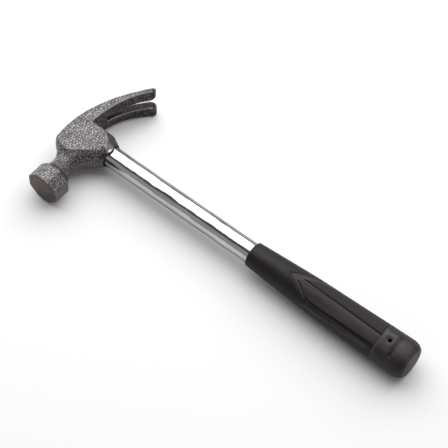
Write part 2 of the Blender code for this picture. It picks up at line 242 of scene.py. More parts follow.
def round_rings(profile, sides):
    """Rings about the handle's axis through (x, radius) places; each goes from +Z towards -Y."""
    turn = np.arange(sides) * 2 * math.pi / sides
    return [[(x, -radius * s, radius * c) for s, c in zip(np.sin(turn), np.cos(turn))]
            for x, radius in profile]


# ------------------------------ helpers for materials

def nodes_of(name):
    """A new material, its node tree and its Principled shader."""
    made = bpy.data.materials.new(name)
    made.use_nodes = True
    tree = made.node_tree
    return made, tree, tree.nodes["Principled BSDF"]


def join(tree, source, target):
    tree.links.new(source, target)


def attribute(tree, name):
    node = tree.nodes.new("ShaderNodeAttribute")
    node.attribute_name = name
    return node.outputs["Fac"]


def place_in(tree, stretch=(1, 1, 1)):
    """Object coordinates, stretched."""
    coordinates = tree.nodes.new("ShaderNodeTexCoord")
    mapping = tree.nodes.new("ShaderNodeMapping")
    mapping.inputs["Scale"].default_value = stretch
    join(tree, coordinates.outputs["Object"], mapping.inputs["Vector"])
    return mapping.outputs["Vector"]


def noise(tree, place, size_mm, detail=3.0, roughness=0.55):
    """Noise whose features are about size_mm across."""
    node = tree.nodes.new("ShaderNodeTexNoise")
    node.inputs["Scale"].default_value = 1 / (size_mm * MM)
    node.inputs["Detail"].default_value = detail
    node.inputs["Roughness"].default_value = roughness
    join(tree, place, node.inputs["Vector"])
    return node.outputs["Fac"]


def spread(tree, value, low, high, to_low=0.0, to_high=1.0):
    """A value stretched from low and high to two other ends, and held there beyond them."""
    node = tree.nodes.new("ShaderNodeMapRange")
    node.inputs["From Min"].default_value = low
    node.inputs["From Max"].default_value = high
    node.inputs["To Min"].default_value = to_low
    node.inputs["To Max"].default_value = to_high
    join(tree, value, node.inputs["Value"])
    return node.outputs["Result"]


def up_to(tree, value, most):
    """A share from 0 to 1, brought down to between 0 and most."""
    return spread(tree, value, 0.0, 1.0, 0.0, most)


def sums(tree, operation, first, second):
    """One operation on two values, each a number or a socket."""
    node = tree.nodes.new("ShaderNodeMath")
    node.operation = operation
    for value, socket in ((first, node.inputs[0]), (second, node.inputs[1])):
        if isinstance(value, (int, float)):
            socket.default_value = value
        else:
            join(tree, value, socket)
    return node.outputs["Value"]


def mixed(tree, share, first, second):
    """One colour where share is 0 and the other where it is 1; each is a colour or a socket."""
    node = tree.nodes.new("ShaderNodeMix")
    node.data_type = "RGBA"
    join(tree, share, node.inputs["Factor"])
    for value, socket in ((first, node.inputs[6]), (second, node.inputs[7])):
        if isinstance(value, tuple):
            socket.default_value = (*value, 1.0)
        else:
            join(tree, value, socket)
    return node.outputs[2]


def ramped(tree, value, stops):
    """A colour from a value, through (position, colour) stops."""
    node = tree.nodes.new("ShaderNodeValToRGB")
    band = node.color_ramp
    while len(band.elements) < len(stops):
        band.elements.new(0.5)
    for element, (position, colour) in zip(band.elements, stops):
        element.position = position
        element.color = (*colour, 1.0)
    join(tree, value, node.inputs["Fac"])
    return node.outputs["Color"]


def bumped(tree, height, depth_mm, shader):
    """Fine roughness in the shading, which the mesh is too coarse to hold."""
    node = tree.nodes.new("ShaderNodeBump")
    node.inputs["Strength"].default_value = 1.0
    node.inputs["Distance"].default_value = depth_mm * MM
    join(tree, height, node.inputs["Height"])
    join(tree, node.outputs["Normal"], shader.inputs["Normal"])


# ------------------------------ head: shape

GRID_STEP = 0.43
GRID_LOW = (-24.0, -59.2, 0.0)
GRID_HIGH = (24.0, 66.8, 18.4)

# crown and claw; angles run along the crown's arc, in degrees
CHEEK = 11.8                  # half thickness across the cheeks
CROWN_RADIUS = 88.0
CROWN_TOP = -21.4
CROWN_Y = -5.0                # where the crown is highest
CROWN_DOME = 1.0              # extra height at mid width over the eye
CLAW_DOME = 3.4               # the same at the claw's tips
CLAW_START = 3.0
CLAW_END = 51.3
CLAW_ROOT_THICKNESS = 13.9
CLAW_TIP_THICKNESS = 2.6
CLAW_THINNING = 1.25          # the power by which the claw thins
CLAW_FLARE_START = 18.0
CLAW_FLARE_BEYOND = 6.0       # the flare would end this far past the tips
CLAW_HALF_WIDTH = 16.34
TIP_OUTER_ROUND = 3.6
TIP_INNER_ROUND = 6.5
TIP_KICK = 1.65               # how far the tips' outer side lifts off the crown's arc
TIP_KICK_LENGTH = 17.0

# nail slot, as distances along the crown's arc
SLOT_LENGTH = 45.0
SLOT_APEX_RADIUS = 2.6
SLOT_KNEE = 20.0              # where the flanks begin to run nearly parallel
SLOT_KNEE_HALF = 3.9
SLOT_TIP_HALF = 4.55

# poll and the waist behind it
FACE_CHAMFER = 0.9
POLL_MIDDLE = -0.3
POLL_END = -6.0               # inside the block round the eye
OCTAGON_POWER = 26            # the higher, the sharper the poll's eight edges
POLL_STATIONS = (
    # y, middle, half x, half z
    (-70.0, POLL_MIDDLE, 14.2, 14.1),
    (-43.6, POLL_MIDDLE, 14.2, 14.1),
    (-42.4, -0.6, 13.9, 13.5),
    (-40.4, -1.0, 11.8, 11.8),
    (-38.0, -1.3, 10.1, 10.2),
    (-35.5, -1.7, 9.2, 9.4),
    (-32.0, -2.3, 8.7, 9.1),
    (-28.5, -2.8, 9.0, 9.2),
    (-25.0, -3.6, 9.9, 9.7),
    (-22.0, -4.6, 11.0, 10.1),
    (-19.0, -5.4, 11.8, 10.2),
    (-12.0, -6.0, 10.0, 9.0),
    (-6.0, -6.0, 4.0, 4.0),
)

# the block round the eye, as its height above the mid plane and its outline there, from the crown
# down the striking side to the skirt and back up the claw side
EYE_BLOCK = (
    (0.0, ((-20.8, -20.4), (-14.6, -25.0), (-11.8, -28.6), (5.6, -29.6), (6.9, -25.2), (10.0, -19.8),
           (14.2, -15.4), (19.4, -10.4), (20.0, -2.2), (19.2, 8.8), (16.8, 11.8), (10.6, 15.2),
           (-1.6, 16.2))),
    (4.6, ((-20.6, -20.2), (-14.6, -24.4), (-11.6, -27.8), (3.0, -29.0), (6.0, -24.8), (9.2, -19.4),
           (13.4, -14.8), (18.6, -9.6), (19.8, -2.2), (18.4, 7.6), (15.4, 10.8), (10.0, 13.6), (-3.0, 13.8))),
    (9.0, ((-20.2, -19.8), (-14.0, -23.2), (-10.0, -25.8), (-3.0, -26.4), (2.4, -23.2), (7.0, -17.8),
           (12.0, -12.8), (17.2, -8.0), (18.4, -2.5), (16.2, 5.4), (13.6, 8.2), (8.8, 11.2), (-4.6, 11.4))),
    (CHEEK, ((-19.4, -19.2), (-13.5, -21.2), (-9.0, -22.4), (-4.6, -21.8), (-1.8, -19.2), (5.0, -13.9),
             (10.4, -10.2), (14.6, -6.6), (15.6, -3.0), (13.4, 3.0), (11.4, 5.4), (7.2, 8.6), (-6.6, 9.4))),
)
BLOCK_BEYOND_CROWN = -40.0    # the outlines run on to here, and the crown cuts them off

# skirt round the tube, and the tongue on each cheek
EYE_RADIUS = TUBE_RADIUS + CLEARANCE
SKIRT_END = 20.0
SKIRT_X = (0, 14, 19.2, 20.2)
SKIRT_RADII = (11.0, 11.3, 10.5, 9.4)
LOBE_START = 6.0
LOBE_END = 22.8
LOBE_RADIUS = 10.3
LOBE_TAPER = 0.9
LOBE_HALF_WIDTH = 6.2
LOBE_Y = -1.2
LOBE_INNER = 4.0              # no tongue nearer the mid plane than this

# a forging fold beside the tongue, as (x, y, height above the mid plane)
FOLD = ((14.8, -4.2, 12.0), (17.9, -5.3, 10.4), (19.8, -7.2, 7.8))
FOLD_RADIUS = 0.95

# how far edges are rounded and fillets reach
CLAW_FILLET = 1.6
CROWN_EDGE = 1.0
SIDE_EDGE = 0.9
TIP_EDGE = 1.2
NECK_FILLET = 3.0
FACE_EDGE = 0.15
SKIRT_FILLET = 1.4
TONGUE_OUTER_EDGE = 0.8
TONGUE_INNER_EDGE = 0.3
TONGUE_FILLET = 0.9
FOLD_EDGE = 0.6
SLOT_EDGE = 0.6
EYE_EDGE = 0.4
BLOCK_SOFTENING = 4           # passes of blurred()
POLL_SOFTENING = 1

HAMMERTONE_DEPTH = 0.07
SKIN_INSET = 0.04             # keeps the relief inside the CAD's surface
NOT_UNDER = -9.0              # the mark for the claw's under side, everywhere else
FAR_FROM_TIP = -99.0

# marks for the paint, with its painted shade and painted highlight
FACE_SKIN = 0.7               # how deep the ground face reaches
RECESS_Y = -40.6              # the hollow just behind the poll
RECESS_HALF = 2.0
POLL_REAR = (42.6, 43.4)      # where the poll's own sides begin, as distances towards the face
# a painted highlight on the tongue's end, where a glossy bulge catches the light
BRIGHT_SPOT = (20.7, -1.9)    # on the tongue's end
BRIGHT_SPOT_HALF = (0.75, 1.5)
BRIGHT_SPOT_TURN = (0.91, 0.41)


def corner_cut(distance, radius):
    """How far a rounded corner is cut back at a distance from the end."""
    reach = np.clip(radius - distance, 0, radius)
    return radius - np.sqrt(radius ** 2 - reach ** 2)


def outline_distance(corners, x, y):
    """Distance from a closed outline in the XY plane, negative inside."""
    nearest = np.full(np.broadcast(x, y).shape, 1e9)
    inside = np.zeros(nearest.shape, bool)
    for (ax, ay), (bx, by) in zip(corners, np.roll(corners, -1, axis=0)):
        ex, ey = bx - ax, by - ay
        along = np.clip(((x - ax) * ex + (y - ay) * ey) / (ex * ex + ey * ey), 0, 1)
        nearest = np.minimum(nearest, np.hypot(x - ax - along * ex, y - ay - along * ey))
        if ey:
            inside ^= ((ay > y) != (by > y)) & (x < ax + (y - ay) * ex / ey)
    return np.where(inside, -nearest, nearest)


def line_distance(corners, x, y, z):
    """Distance from a bent line through the given places."""
    nearest = 1e9
    for start, end in zip(np.array(corners[:-1]), np.array(corners[1:])):
        away = end - start
        offsets = (x - start[0], y - start[1], z - start[2])
        share = np.clip(sum(offset * part for offset, part in zip(offsets, away)) / (away @ away), 0, 1)
        gap = np.sqrt(sum((offset - share * part) ** 2 for offset, part in zip(offsets, away)))
        nearest = np.minimum(nearest, gap)
    return nearest


def eye_block_field(x, y, levels):
    """The block round the eye, slice by slice: its outline swells from the cheeks to mid height."""
    heights = [height for height, _ in EYE_BLOCK]
    outlines = np.array([outline for _, outline in EYE_BLOCK])
    slices = []
    for level in levels:
        corners = [[np.interp(level, heights, outlines[:, number, axis]) for axis in (0, 1)]
                   for number in range(outlines.shape[1])]
        behind, front = corners[-1], corners[0]
        corners += [[BLOCK_BEYOND_CROWN, behind[1] + 2.0], [BLOCK_BEYOND_CROWN, front[1] + 7.0]]
        slices.append(outline_distance(np.array(corners), x[:, :, 0], y[:, :, 0]))
    return np.stack(slices, axis=2)


def poll_field(x, y, z):
    """The octagonal poll and the waist behind it."""
    stations = np.array(POLL_STATIONS).T
    middle, half_x, half_z = (np.interp(y, stations[0], row) for row in stations[1:])
    u, w = (x - middle) / half_x, z / half_z
    facets = (u, w, (u + w) * math.sqrt(0.5), (u - w) * math.sqrt(0.5))
    gauge = sum(np.abs(facet) ** OCTAGON_POWER for facet in facets) ** (1 / OCTAGON_POWER)
    return np.maximum((gauge - 1) * np.minimum(half_x, half_z), y - POLL_END)


def slot_field(to_tip, aside):
    """The nail slot: a round apex, flanks that open up to a knee, and rounded corners at the tips."""
    along = SLOT_LENGTH - to_tip
    half = np.interp(along, (SLOT_APEX_RADIUS, SLOT_KNEE, SLOT_LENGTH),
                     (SLOT_APEX_RADIUS, SLOT_KNEE_HALF, SLOT_TIP_HALF))
    flanks = np.maximum(aside - half - corner_cut(to_tip, TIP_INNER_ROUND), -along)
    apex = np.hypot(along - SLOT_APEX_RADIUS, aside) - SLOT_APEX_RADIUS
    return np.where(along < SLOT_APEX_RADIUS, apex, flanks)


def skirt_field(x, about):
    """The collar round the tube."""
    skirt = about - np.interp(x, SKIRT_X, SKIRT_RADII)
    return np.maximum(skirt, np.maximum(-x, x - SKIRT_END))


def head_fields(x, y, aside):
    """The head's field, and the fields of its parts that its marks are worked out from."""
    out_x, out_y = x - (CROWN_TOP + CROWN_RADIUS), y - CROWN_Y
    radius = np.hypot(out_x, out_y)
    angle = np.degrees(np.arctan2(out_y, -out_x))
    share = np.clip((angle - CLAW_START) / (CLAW_END - CLAW_START), 0, 1)
    to_tip = np.radians(CLAW_END - angle) * CROWN_RADIUS
    taper = (CLAW_ROOT_THICKNESS - CLAW_TIP_THICKNESS) * (1 - share) ** CLAW_THINNING
    flare = ramp(angle, CLAW_FLARE_START, CLAW_END + CLAW_FLARE_BEYOND)
    half = CHEEK + (CLAW_HALF_WIDTH - CHEEK) * flare
    dome = CROWN_DOME + (CLAW_DOME - CROWN_DOME) * share
    outer = CROWN_RADIUS + TIP_KICK * (1 - ramp(to_tip, 0, TIP_KICK_LENGTH)) * (angle > 0)
    crown = radius - outer - dome * (1 - np.minimum(aside / half, 1) ** 2)
    under = CROWN_RADIUS - (CLAW_TIP_THICKNESS + taper) - radius

    block = eye_block_field(x, y, aside[0, 0])
    off_cheek = block[:, :, -1:]
    block = blurred(block, BLOCK_SOFTENING)
    claw = np.maximum(under, -np.radians(angle) * CROWN_RADIUS)
    shape = soft_min(block, claw, CLAW_FILLET)
    shape = soft_max(shape, crown, CROWN_EDGE)
    sides = aside - half + corner_cut(to_tip, TIP_OUTER_ROUND)
    shape = soft_max(shape, sides, SIDE_EDGE)
    shape = soft_max(shape, -to_tip, TIP_EDGE)

    poll = blurred(poll_field(x, y, aside), POLL_SOFTENING)
    shape = soft_min(shape, poll, NECK_FILLET)
    face = soft_max(FACE_Y - y, (poll + FACE_Y - y + FACE_CHAMFER) * math.sqrt(0.5), FACE_EDGE)
    shape = soft_max(shape, face, FACE_EDGE)

    about = np.hypot(y, aside)
    shape = soft_min(shape, skirt_field(x, about), SKIRT_FILLET)
    lobe = about - np.interp(x, (8.0, LOBE_END - 1.0, LOBE_END),
                             (LOBE_RADIUS + LOBE_TAPER, LOBE_RADIUS, LOBE_RADIUS - LOBE_TAPER))
    tongue = np.hypot(np.maximum(x - (LOBE_END - LOBE_HALF_WIDTH), 0), y - LOBE_Y) - LOBE_HALF_WIDTH
    lobe = soft_max(soft_max(lobe, tongue, TONGUE_OUTER_EDGE),
                    np.maximum(LOBE_START - x, LOBE_INNER - aside), TONGUE_INNER_EDGE)
    shape = soft_min(shape, lobe, TONGUE_FILLET)
    fold = line_distance(FOLD, x, y, aside)
    shape = soft_max(shape, FOLD_RADIUS - fold, FOLD_EDGE)

    slot = slot_field(to_tip, aside)
    shape = soft_max(shape, -slot, SLOT_EDGE)
    shape = soft_max(shape, EYE_RADIUS - about, EYE_EDGE)
    return shape, (angle, to_tip, under, off_cheek, tongue, fold, slot)


def head_marks(x, y, aside, parts):
    """Fields for the material: how deep its bare places lie, and shares from 0 to 1 for the rest."""
    angle, to_tip, under, off_cheek, tongue, fold, slot = parts
    on_poll = ramp(-y, *POLL_REAR)
    round_poll = np.degrees(np.arctan2(x - POLL_MIDDLE, aside))
    # 1 round the eye block, fading out towards the claw
    aft = np.where(y < 0, 1.0, ramp(x, 2.0, 6.0) * ramp(-y, -19.0, -16.0))
    slope = ramp(off_cheek, -0.4, 1.8) * ramp(y, -29.0, -26.0) * aft
    slope = slope * (1 - 0.55 * spot(x - 16.4, 1.6, y + 0.8, 2.2))

    # painted shade, tinted brown: darker in the waist, in the hollow behind the poll, on the block's striking
    # side and lower flanks and on its slopes, where less light falls
    hollow = ramp(-np.abs(y + 36.0), -8.0, -3.0) * ramp(x, -9.0, -2.0)
    recess = bell(y - RECESS_Y, RECESS_HALF)
    front = 0.75 * ramp(-y, 20.0, 22.0) * ramp(y, -28.0, -25.0) * ramp(-x, 5.0, 8.0)
    flank = ramp(-y, 12.0, 20.0) * ramp(-aside, -10.5, -7.5) * ramp(x, -9.0, -4.0)
    painted_shade = strongest(hollow, recess, front, flank, slope * ramp(x, -12.0, -5.0))
    # painted shade: the poll's facets turned from the light are tinted dark brown
    dust_and_painted_light = (0.65 * ramp(round_poll, 18.0, 27.0) + 0.35 * ramp(round_poll, 60.0, 72.0)) * on_poll

    # painted shade, darker still: round the tongue, in the fold, on the slope towards the claw, on the face's
    # chamfer, behind the poll and on the poll's side towards the handle
    lip = ramp(np.maximum(tongue, x - LOBE_END), -1.5, -0.7) * ramp(x, 16.0, 17.5) * ramp(aside, 4.0, 5.0)
    lip = np.maximum(lip, ramp(x, 18.8, 19.6) * ramp(-aside, -5.0, -4.0))
    chamfer = 0.42 * ramp(y - FACE_Y, 0.06, 0.3) * ramp(FACE_Y + FACE_CHAMFER - y, 0.0, 0.3)
    behind_poll = 0.62 * recess * ramp(round_poll, -50.0, 10.0)
    far_facet = 0.4 * ramp(round_poll, 62.0, 74.0) * on_poll
    dark = strongest(lip, 0.85 * ramp(-fold, -1.5, -0.8), 0.85 * slope * ramp(y, 0.5, 4.0),
                     chamfer, behind_poll, far_facet)

    # painted highlight: a light oval on the tongue's end
    spot_x, spot_y = x - BRIGHT_SPOT[0], y - BRIGHT_SPOT[1]
    cosine, sine = BRIGHT_SPOT_TURN
    across, along = spot_x * cosine - spot_y * sine, spot_x * sine + spot_y * cosine
    bright = spot(across, BRIGHT_SPOT_HALF[0], along, BRIGHT_SPOT_HALF[1])
    claw_root = np.interp(y, (8.0, 16.0), (4.0, -30.0))
    return {
        "under": np.where((angle > 9.0) & (x > claw_root), under, NOT_UNDER),
        "slot": -slot,
        "face": FACE_Y + FACE_SKIN - y,
        "tip": np.where(angle > 0, -to_tip, FAR_FROM_TIP),
        "painted_shade": painted_shade * ramp(y, -44.2, -43.0),
        "dust_and_painted_light": dust_and_painted_light,
        "painted_highlight": bright * ramp(aside, 7.0, 9.0) * (1 - lip),
        "dark": dark,
        "rim": bell(off_cheek - 0.2, 0.45) * ramp(aside, 9.5, 11.0) * aft,
    }


def mirrored(grid):
    """A field sampled above the mid plane, with its other half."""
    return np.concatenate([grid[:, :, :0:-1], grid], axis=2)


def make_head(finish):
    """The head's skin with its hammertone relief, and its marks for the material."""
    low = np.array(GRID_LOW)
    x, y, z = np.meshgrid(*(np.arange(a, b, GRID_STEP) for a, b in zip(GRID_LOW, GRID_HIGH)),
                          indexing="ij", sparse=True)
    shape, parts = head_fields(x, y, z)

    shape = mirrored(shape)
    low[2] = -GRID_STEP * (z.size - 1)
    points, quads = surface_net(shape, low, GRID_STEP)
    cells = (points - low) / GRID_STEP

    item = make_piece("forged_head", points, quads, finish, "head")
    half_grid = (x.size, y.size, z.size)
    marks = {name: sampled(mirrored(np.broadcast_to(field, half_grid)), cells)
             for name, field in head_marks(x, y, z, parts).items()}
    tip, ground = marks["tip"], ramp(marks["face"], -0.3, 0.2)
    at_tip = ramp(tip, -3.6, -2.6)
    below = ramp(marks["under"], -0.9, -0.2) * (1 - ramp(marks["under"], 0.5, 1.2))
    tips = 0.7 * ramp(tip, -23.0, -10.0) + 0.1 * ramp(tip, -7.0, -4.0) + 0.2 * at_tip
    bared = strongest(below, ramp(marks["slot"], -0.9, -0.2), ground, tips)

    grain = waves(points, shortest=1.2, longest=2.3, count=90, seed=7)
    height = np.tanh(grain * 1.1) * HAMMERTONE_DEPTH * (1 - bared)
    height -= HAMMERTONE_DEPTH * (1 - bared) + SKIN_INSET
    moved = points + normals_of(item) * height[:, None]
    item.data.vertices.foreach_set("co", to_world(moved).ravel())
    item.data.update()

    store(item, "grain", grain)
    store(item, "bare", bared)
    store(item, "face", ground)
    store(item, "slot", ramp(marks["slot"], -0.5, 0.0))
    for name in ("painted_shade", "dust_and_painted_light", "painted_highlight", "dark"):
        store(item, name, marks[name])
    # lighter on convex edges: worn paint, which also paints the edges' highlights
    edge = sampled(blurred(shape, 4) - shape, cells)
    wear_and_edge_highlight = ramp(edge, 0.07, 0.22) + 0.4 * marks["rim"]
    store(item, "edge", wear_and_edge_highlight * (1 - np.clip(marks["dark"], 0, 1)) * (1 - 0.9 * at_tip))
    return item


# ------------------------------ head: material

def hammertone_finish():
    """Mottled silver-grey enamel, worn and with painted highlights on its edges, over brown-black bare steel,
    with painted shade in its hollows, slot and crevices and a painted highlight on each tongue.
    """
    made, tree, shader = nodes_of("hammertone_on_steel")
    place = place_in(tree)
    grain = attribute(tree, "grain")
    fine = noise(tree, place, 0.8, 2.0, 0.65)
    patches = noise(tree, place, 9.0, 2.0)
    mottle = sums(tree, "ADD", spread(tree, grain, -2.4, 2.4), spread(tree, fine, 0.3, 0.7, -0.28, 0.28))
    mottle = sums(tree, "ADD", mottle, spread(tree, patches, 0.3, 0.7, -0.02, 0.02))
    paint = ramped(tree, mottle, ((0.22, (0.022, 0.016, 0.018)), (0.42, (0.063, 0.053, 0.058)),
                                  (0.58, (0.118, 0.107, 0.115)), (0.82, (0.46, 0.44, 0.46))))
    uneven = spread(tree, patches, 0.3, 0.6, 0.8, 1.0)
    # painted shade on the places turned from the light, tinted brown, with the hammertone kept in it
    painted_shade = up_to(tree, sums(tree, "MULTIPLY", attribute(tree, "painted_shade"), uneven), 0.92)
    shaded_paint = ramped(tree, mottle, ((0.30, (0.011, 0.0065, 0.0062)), (0.50, (0.056, 0.039, 0.038)),
                                  (0.80, (0.180, 0.147, 0.144))))
    paint = mixed(tree, painted_shade, paint, shaded_paint)
    # painted shade on the poll's facets turned from the light, in a dark brown
    brown = ramped(tree, mottle, ((0.30, (0.046, 0.035, 0.035)), (0.80, (0.200, 0.165, 0.165))))
    paint = mixed(tree, up_to(tree, attribute(tree, "dust_and_painted_light"), 0.85), paint, brown)

    scale = noise(tree, place, 1.8, 4.0, 0.65)
    steel = ramped(tree, scale, ((0.34, (0.008, 0.0055, 0.0062)), (0.50, (0.032, 0.0225, 0.0245)),
                                 (0.66, (0.155, 0.125, 0.125))))
    ground = ramped(tree, patches, ((0.35, (0.035, 0.021, 0.0195)), (0.65, (0.077, 0.047, 0.0435))))
    steel = mixed(tree, attribute(tree, "face"), steel, ground)
    slot_painted_shade, deepest_painted_shade = (0.008, 0.005, 0.005), (0.007, 0.005, 0.005)
    # painted shade on the nail slot's walls, darker than the bare steel round them
    steel = mixed(tree, up_to(tree, attribute(tree, "slot"), 0.7), steel, slot_painted_shade)

    worn_and_highlight_steel, painted_highlight_colour = (0.48, 0.46, 0.46), (0.85, 0.84, 0.84)
    surface = mixed(tree, attribute(tree, "bare"), paint, steel)
    # painted shade, near black, on the dark marks
    surface = mixed(tree, up_to(tree, attribute(tree, "dark"), 0.9), surface, deepest_painted_shade)
    # worn steel on the edges, standing also for their painted highlights
    rubbed_and_edge_highlight = sums(tree, "MULTIPLY", attribute(tree, "edge"), spread(tree, fine, 0.35, 0.6, 0.2, 1.0))
    surface = mixed(tree, up_to(tree, rubbed_and_edge_highlight, 0.75), surface, worn_and_highlight_steel)
    # painted highlight on each tongue's end, near white
    join(tree, mixed(tree, attribute(tree, "painted_highlight"), surface, painted_highlight_colour), shader.inputs["Base Color"])
    join(tree, spread(tree, attribute(tree, "bare"), 0.0, 1.0, 0.12, 0.75), shader.inputs["Metallic"])
    join(tree, spread(tree, fine, 0.3, 0.7, 0.34, 0.50), shader.inputs["Roughness"])
    bumped(tree, sums(tree, "ADD", fine, sums(tree, "MULTIPLY", scale, 0.5)), 0.05, shader)
    return made


# ------------------------------ handle

TUBE_WALL = 1.5
TUBE_EDGE = 0.35              # the rounding of its ends
TUBE_EDGE_MID = 0.1
TUBE_RINGS = 230
TUBE_SIDES = 128
TUBE_INSET = 0.010            # share of the radius left for the unevenness
LONG_WAVES = 0.055
SHORT_WAVES = 0.02


def make_tube(finish):
    """The tube, with the slight unevenness that drawing and plating leave."""
    inner, rounded, eased = (TUBE_RADIUS - cut for cut in (TUBE_WALL, TUBE_EDGE, TUBE_EDGE_MID))
    stops = np.linspace(TUBE_TOP + 2, TUBE_END - 2, TUBE_RINGS)
    stops = np.concatenate([[TUBE_TOP + TUBE_EDGE], stops, [TUBE_END - TUBE_EDGE]])
    profile = [(TUBE_TOP, inner), (TUBE_TOP, rounded), (TUBE_TOP + TUBE_EDGE_MID, eased)]
    profile += [(stop, TUBE_RADIUS) for stop in stops]
    profile += [(TUBE_END - TUBE_EDGE_MID, eased), (TUBE_END, rounded), (TUBE_END, inner)]
    points, faces = skin(round_rings(profile, TUBE_SIDES), loop=True)
    long_way = points * (0.5, 1.0, 1.0)
    outside = np.hypot(points[:, 1], points[:, 2]) > TUBE_RADIUS - 0.01
    swell = waves(long_way, shortest=7.0, longest=13.0, count=40, seed=11)
    ripple = waves(long_way, shortest=2.6, longest=4.5, count=60, seed=17)
    uneven = (swell * LONG_WAVES + ripple * SHORT_WAVES) * outside
    points[:, 1:] *= (1 - TUBE_INSET + uneven[:, None] / TUBE_RADIUS)
    return make_piece("chromed_tube", points, faces, finish, "handle_tube")


def chrome_finish():
    """Bright chrome with faint haze, draw lines and specks."""
    made, tree, shader = nodes_of("bright_chrome")
    drawn = noise(tree, place_in(tree, (0.03, 1, 1)), 0.5, 3.0)
    haze = noise(tree, place_in(tree, (0.4, 1, 1)), 9.0, 3.0)
    specks = noise(tree, place_in(tree), 0.6, 2.0)
    tint = ramped(tree, haze, ((0.3, (0.42, 0.43, 0.45)), (0.7, (0.52, 0.53, 0.54))))
    speck = spread(tree, specks, 0.68, 0.76, 0.0, 0.35)
    join(tree, mixed(tree, speck, tint, (0.20, 0.19, 0.18)), shader.inputs["Base Color"])
    shader.inputs["Metallic"].default_value = 1.0
    shader.inputs["Specular Tint"].default_value = (0.42, 0.42, 0.43, 1.0)
    join(tree, spread(tree, haze, 0.25, 0.75, 0.07, 0.16), shader.inputs["Roughness"])
    bumped(tree, drawn, 0.004, shader)
    return made


def make_expansion_plug(finish):
    """The driven plug: a chamfered top with a centre mark and a ring, and a step along its side."""
    radius = (plug_high[2] - plug_low[2]) / 2 / MM
    top, end = from_eye(plug_low[0], 0), from_eye(plug_high[0], 0)
    centre_mark = [(top + 0.9, 0.25), (top + 0.35, 0.9), (top + 0.05, 1.3), (top, 1.6)]
    ring = [(top, 3.2), (top + 0.12, 3.4), (top + 0.12, 4.0), (top, 4.2)]
    chamfer = [(top, radius - 0.7), (top + 0.15, radius - 0.3), (top + 0.6, radius)]
    step = [(top + 3.0, radius), (top + 3.2, radius - 0.15), (top + 3.7, radius - 0.15), (top + 3.9, radius)]
    nose = [(end - 3.0, radius), (end - 0.4, radius - 1.2), (end, radius - 1.7)]
    profile = centre_mark + ring + chamfer + step + nose
    points, faces = skin(round_rings(profile, 96), (top + 1.0, 0, 0), (end, 0, 0))
    return make_piece("driven_plug", points, faces, finish, "expansion_plug")


def turned_steel_finish():
    """Turned steel with a little rust."""
    made, tree, shader = nodes_of("turned_steel")
    rings = noise(tree, place_in(tree), 0.8, 4.0)
    rust = noise(tree, place_in(tree), 3.0, 4.0)
    colour = ramped(tree, rings, ((0.3, (0.22, 0.21, 0.21)), (0.7, (0.42, 0.41, 0.40))))
    stain = spread(tree, rust, 0.52, 0.72, 0.0, 0.6)
    join(tree, mixed(tree, stain, colour, (0.14, 0.08, 0.05)), shader.inputs["Base Color"])
    shader.inputs["Metallic"].default_value = 0.9
    join(tree, spread(tree, rust, 0.3, 0.7, 0.30, 0.6), shader.inputs["Roughness"])
    bumped(tree, rings, 0.03, shader)
    return made


def dowel_finish():
    """Hardwood with its grain along the handle."""
    made, tree, shader = nodes_of("hardwood_dowel")
    lines = noise(tree, place_in(tree, (0.06, 1, 1)), 0.9, 5.0, 0.65)
    figure = noise(tree, place_in(tree, (0.15, 1, 1)), 6.0, 2.0)
    wood = ramped(tree, lines, ((0.3, (0.30, 0.17, 0.08)), (0.55, (0.52, 0.34, 0.18)),
                                (0.75, (0.66, 0.47, 0.28))))
    join(tree, mixed(tree, spread(tree, figure, 0.3, 0.7, 0, 0.4), wood, (0.36, 0.22, 0.11)),
         shader.inputs["Base Color"])
    join(tree, spread(tree, lines, 0.3, 0.7, 0.8, 0.6), shader.inputs["Roughness"])
    bumped(tree, lines, 0.08, shader)
    return made


def moulded_plastic_finish():
    """Dull black plastic with faint flow marks."""
    made, tree, shader = nodes_of("moulded_plastic")
    grain = noise(tree, place_in(tree), 0.5, 3.0)
    flow = noise(tree, place_in(tree, (0.3, 1, 1)), 5.0, 2.0)
    join(tree, ramped(tree, flow, ((0.3, (0.035, 0.035, 0.037)), (0.7, (0.060, 0.060, 0.062)))),
         shader.inputs["Base Color"])
    join(tree, spread(tree, grain, 0.3, 0.7, 0.45, 0.62), shader.inputs["Roughness"])
    bumped(tree, grain, 0.03, shader)
    return made


# ------------------------------ grip: shape

# the sleeve's radius against x
GRIP_SWELL = ((164.0, 10.3), (180.0, 11.3), (215.0, 13.25), (250.0, 14.15), (300.5, 15.5))
GRIP_END_FLAT = 10.6          # radius of the butt's flat
GRIP_END_DOME = 0.5
GRIP_LIP = 1.2                # rounding of the front edge
GRIP_TURN = 7.0               # the sleeve sits turned this far about the tube, in degrees
GRIP_SIDES = 288
RING_GAPS = (0.9, 0.5, 0.32)  # on the plain front, on the panels and at the finest detail
DETAIL_START = 197.0
FINEST_STRETCHES = ((281.0, 285.5), (293.8, 296.4))     # the lip and the cross groove
GRIP_INSET = 0.10             # keeps the detail inside the CAD's surface
GRIP_SAG = 0.03
PEBBLE_HEIGHT = 0.075
POCKET_END = TUBE_END + 2.8
HOLE_X = 289.2
HOLE_RADIUS = 1.45
HOLE_SIDES = 48
HOLE_REACH = 25.0             # of its cutter, to either side of the mid plane
